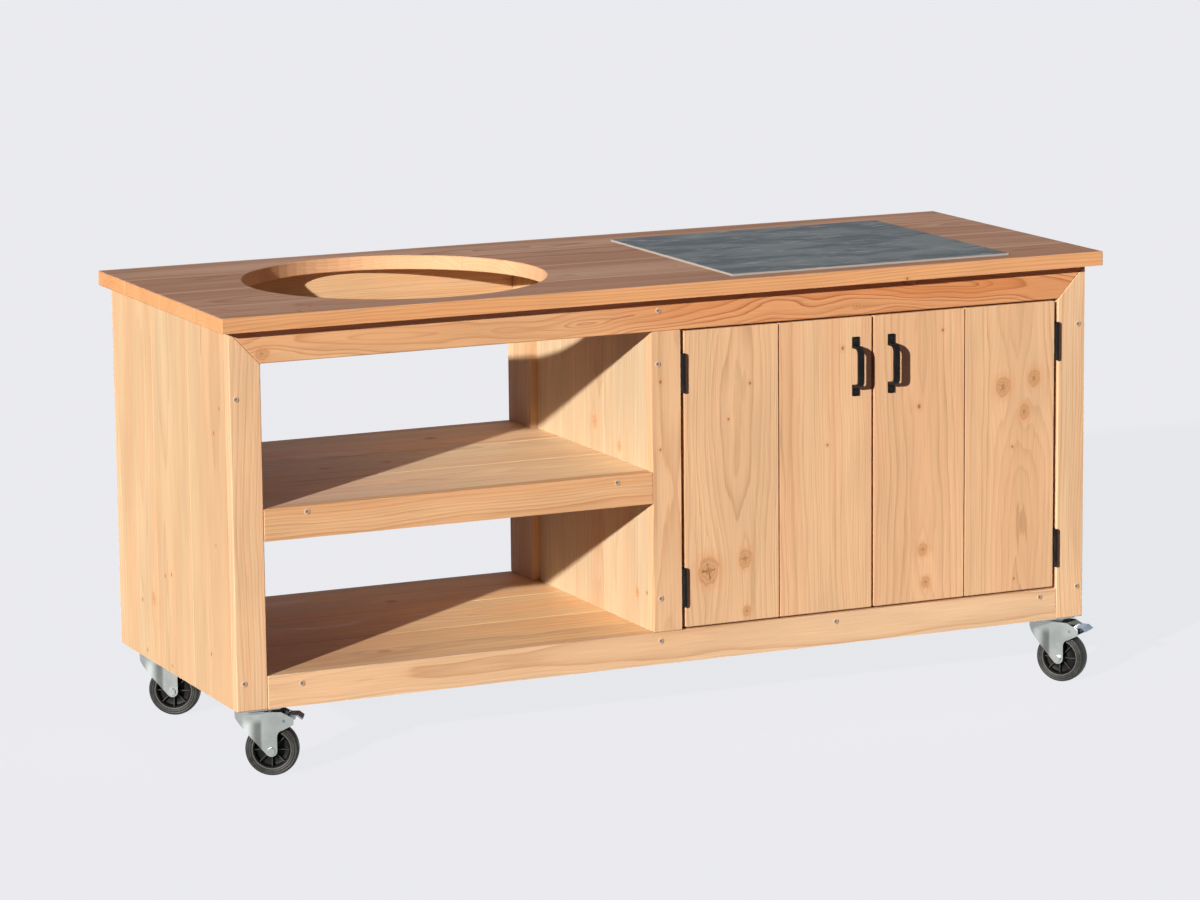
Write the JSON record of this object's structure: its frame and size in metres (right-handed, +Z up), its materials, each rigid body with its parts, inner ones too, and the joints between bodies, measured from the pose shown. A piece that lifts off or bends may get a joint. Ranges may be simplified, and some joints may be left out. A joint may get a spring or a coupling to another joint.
{
  "type": "kamado grill table",
  "caption": "Wooden outdoor kitchen table on casters, with a round grill cut-out over an open shelf bay and a two-door cabinet under an inset stone plate.",
  "frame": {"origin": "on the floor, under the middle of the table top", "axes": "+X to the right along the top as seen from the doors, +Y to the back, +Z up"},
  "size_m": [1.8303, 0.69, 0.873],
  "materials": {
    "top_wood": "oiled and sun-darkened softwood",
    "frame_wood": "oiled planed softwood",
    "panel_wood": "planed softwood",
    "door_wood": "oiled planed softwood",
    "stone": "honed dark stone",
    "black_metal": "black powder coat",
    "zinc": "bright zinc plate",
    "tyre": "black rubber on a black plastic rim"
  },
  "bodies": {
    "table": {"top_board_front": "top_wood", "top_board_second_left": "top_wood", "top_board_second_right": "top_wood", "top_board_third_left": "top_wood", "top_board_third_right": "top_wood", "top_board_back": "top_wood", "stone_plate": "stone", "front_stile_left": "frame_wood", "front_stile_right": "frame_wood", "front_top_rail": "frame_wood", "front_bottom_rail": "frame_wood", "front_mid_stile": "frame_wood", "back_stile_left": "frame_wood", "back_stile_right": "frame_wood", "back_mid_stile": "frame_wood", "back_bottom_rail": "frame_wood", "back_apron": "frame_wood", "cabinet_back_panel": "panel_wood", "divider_batten": "panel_wood", "end_panel_left": "panel_wood", "end_panel_right": "panel_wood", "divider_panel": "panel_wood", "floor_boards": "panel_wood", "shelf_boards": "panel_wood", "shelf_front_strip": "frame_wood", "shelf_back_strip": "frame_wood", "bearer_left": "panel_wood", "bearer_right": "panel_wood", "door_stop": "panel_wood", "hinge_left_upper_frame_leaf": "black_metal", "hinge_left_lower_frame_leaf": "black_metal", "hinge_right_upper_frame_leaf": "black_metal", "hinge_right_lower_frame_leaf": "black_metal", "caster_front_left_plate": "zinc", "caster_front_right_plate": "zinc", "caster_back_left_plate": "zinc", "caster_back_right_plate": "zinc"},
    "door_left": {"door_left_board_hung": "door_wood", "door_left_board_meeting": "door_wood", "door_left_brace": "panel_wood", "door_left_handle": "black_metal", "hinge_left_upper_door_leaf": "black_metal", "hinge_left_lower_door_leaf": "black_metal"},
    "door_right": {"door_right_board_hung": "door_wood", "door_right_board_meeting": "door_wood", "door_right_brace": "panel_wood", "door_right_handle": "black_metal", "hinge_right_upper_door_leaf": "black_metal", "hinge_right_lower_door_leaf": "black_metal"},
    "swivel_front_left": {"caster_front_left_fork": "zinc"},
    "swivel_front_right": {"caster_front_right_fork": "zinc"},
    "swivel_back_left": {"caster_back_left_fork": "zinc"},
    "swivel_back_right": {"caster_back_right_fork": "zinc"},
    "wheel_front_left": {"caster_front_left_wheel": "tyre"},
    "wheel_front_right": {"caster_front_right_wheel": "tyre"},
    "wheel_back_left": {"caster_back_left_wheel": "tyre"},
    "wheel_back_right": {"caster_back_right_wheel": "tyre"},
    "brake_front_left": {"caster_front_left_brake_lever": "zinc"},
    "brake_front_right": {"caster_front_right_brake_lever": "zinc"}
  },
  "joints": [
    {"name": "door_left_hinge", "type": "hinge", "parent": "table", "child": "door_left", "pos_m": [0.015, -0.3194, 0.487], "axis": [0, 0, -1], "range_deg": [0, 170]},
    {"name": "door_right_hinge", "type": "hinge", "parent": "table", "child": "door_right", "pos_m": [0.828, -0.3194, 0.487], "axis": [0, 0, 1], "range_deg": [0, 170]},
    {"name": "caster_front_left_swivel", "type": "hinge", "parent": "table", "child": "swivel_front_left", "pos_m": [-0.8425, -0.257, 0.12], "axis": [0, 0, 1], "continuous": true},
    {"name": "caster_front_right_swivel", "type": "hinge", "parent": "table", "child": "swivel_front_right", "pos_m": [0.8425, -0.257, 0.12], "axis": [0, 0, 1], "continuous": true},
    {"name": "caster_back_left_swivel", "type": "hinge", "parent": "table", "child": "swivel_back_left", "pos_m": [-0.8425, 0.277, 0.12], "axis": [0, 0, 1], "continuous": true},
    {"name": "caster_back_right_swivel", "type": "hinge", "parent": "table", "child": "swivel_back_right", "pos_m": [0.8425, 0.277, 0.12], "axis": [0, 0, 1], "continuous": true},
    {"name": "caster_front_left_axle", "type": "hinge", "parent": "swivel_front_left", "child": "wheel_front_left", "pos_m": [-0.81014, -0.27278, 0.05], "axis": [0.4384, 0.8988, 0], "continuous": true},
    {"name": "caster_front_right_axle", "type": "hinge", "parent": "swivel_front_right", "child": "wheel_front_right", "pos_m": [0.86466, -0.28537, 0.05], "axis": [0.788, 0.6157, 0], "continuous": true},
    {"name": "caster_back_left_axle", "type": "hinge", "parent": "swivel_back_left", "child": "wheel_back_left", "pos_m": [-0.81231, 0.25739, 0.05], "axis": [0.5446, 0.8387, 0], "continuous": true},
    {"name": "caster_back_right_axle", "type": "hinge", "parent": "swivel_back_right", "child": "wheel_back_right", "pos_m": [0.85481, 0.24317, 0.05], "axis": [0.9397, 0.342, 0], "continuous": true},
    {"name": "brake_front_left_release", "type": "hinge", "parent": "swivel_front_left", "child": "brake_front_left", "pos_m": [-0.78857, -0.2833, 0.1066], "axis": [-0.4384, -0.8988, 0], "range_deg": [0, 14]},
    {"name": "brake_front_right_release", "type": "hinge", "parent": "swivel_front_right", "child": "brake_front_right", "pos_m": [0.87944, -0.30428, 0.1066], "axis": [-0.788, -0.6157, 0], "range_deg": [0, 14]}
  ]
}
